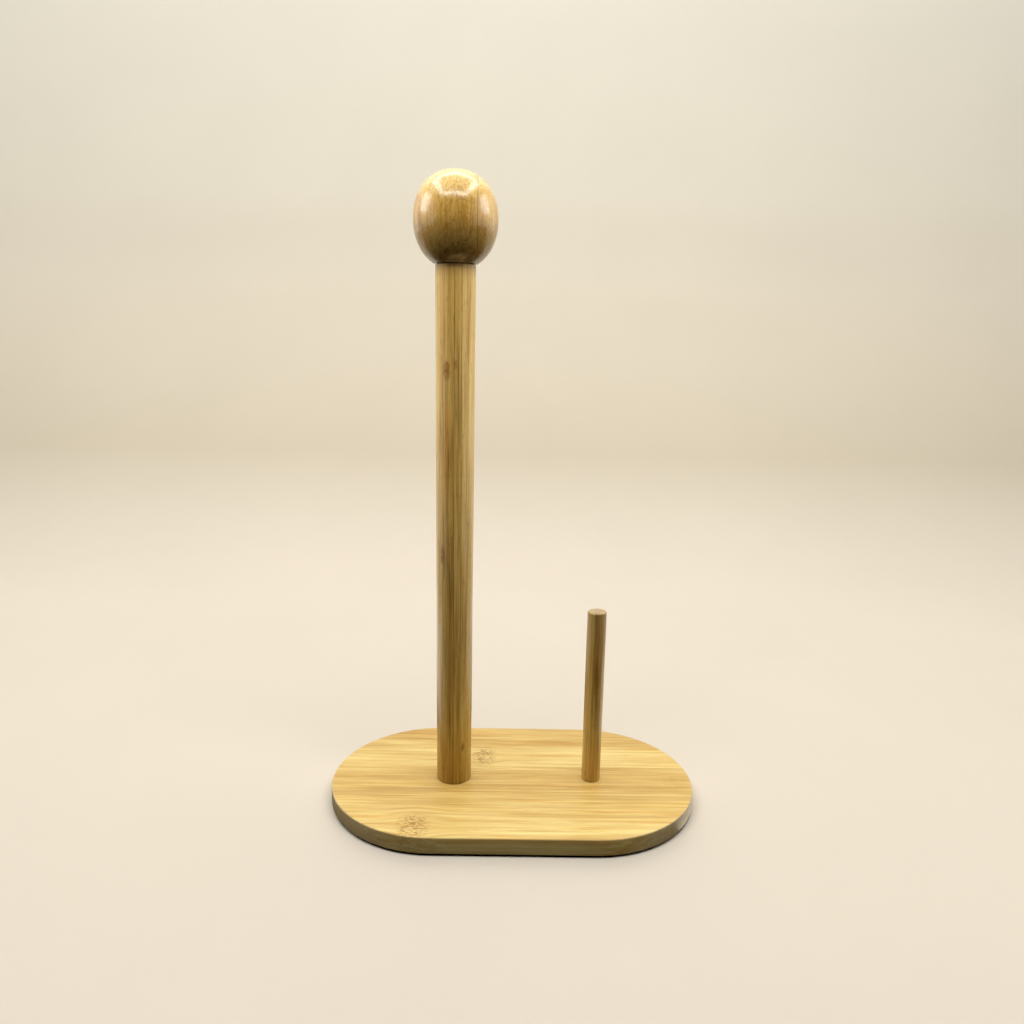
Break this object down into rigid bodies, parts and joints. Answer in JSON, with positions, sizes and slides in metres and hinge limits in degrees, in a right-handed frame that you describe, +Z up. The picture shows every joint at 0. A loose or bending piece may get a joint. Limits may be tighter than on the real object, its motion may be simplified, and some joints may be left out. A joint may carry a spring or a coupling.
{
  "type": "paper towel holder",
  "caption": "Free-standing bamboo paper towel holder: stadium board on thin pads, thick roll post with a screw-on ball knob, and a thin tear arm.",
  "frame": {"origin": "middle of the board's outline, at the height of the surface that the foot pads stand on", "axes": "+X along the board from the roll post towards the tear arm, +Y to the back, +Z up"},
  "size_m": [0.214, 0.125, 0.3537],
  "materials": {
    "bamboo_board": "flat-pressed bamboo strips under satin clear lacquer",
    "bamboo_post": "bamboo dowel, grain upright, satin clear lacquer",
    "bamboo_arm": "bamboo dowel, grain upright, satin clear lacquer",
    "bamboo_knob": "turned bamboo, grain upright, gloss clear lacquer",
    "fastener_steel": "zinc plated, satin",
    "insert_brass": "turned, satin",
    "pad_foam": "matt black self-adhesive pad"
  },
  "bodies": {
    "holder": {"base_board": "bamboo_board", "foot_pad_front_left": "pad_foam", "foot_pad_front_right": "pad_foam", "foot_pad_back_left": "pad_foam", "foot_pad_back_right": "pad_foam", "main_post": "bamboo_post", "post_foot_insert": "insert_brass", "post_top_insert": "insert_brass", "post_washer": "fastener_steel", "post_screw": "fastener_steel", "tear_arm": "bamboo_arm", "arm_screw": "fastener_steel"},
    "bolt": {"knob_hanger_bolt": "fastener_steel"},
    "knob": {"ball_knob": "bamboo_knob"}
  },
  "joints": [
    {"name": "knob_lift", "type": "slide", "parent": "holder", "child": "bolt", "axis": [0, 0, 1], "range_m": [0, 0.012]},
    {"name": "knob_turn", "type": "hinge", "parent": "bolt", "child": "knob", "pos_m": [-0.035, 0, 0.3067], "axis": [0, 0, 1], "range_deg": [0, 4320]}
  ],
  "couplings": [
    {"joint": "knob_lift", "follows": "knob_turn", "m_per_rad": 0.00015915}
  ]
}
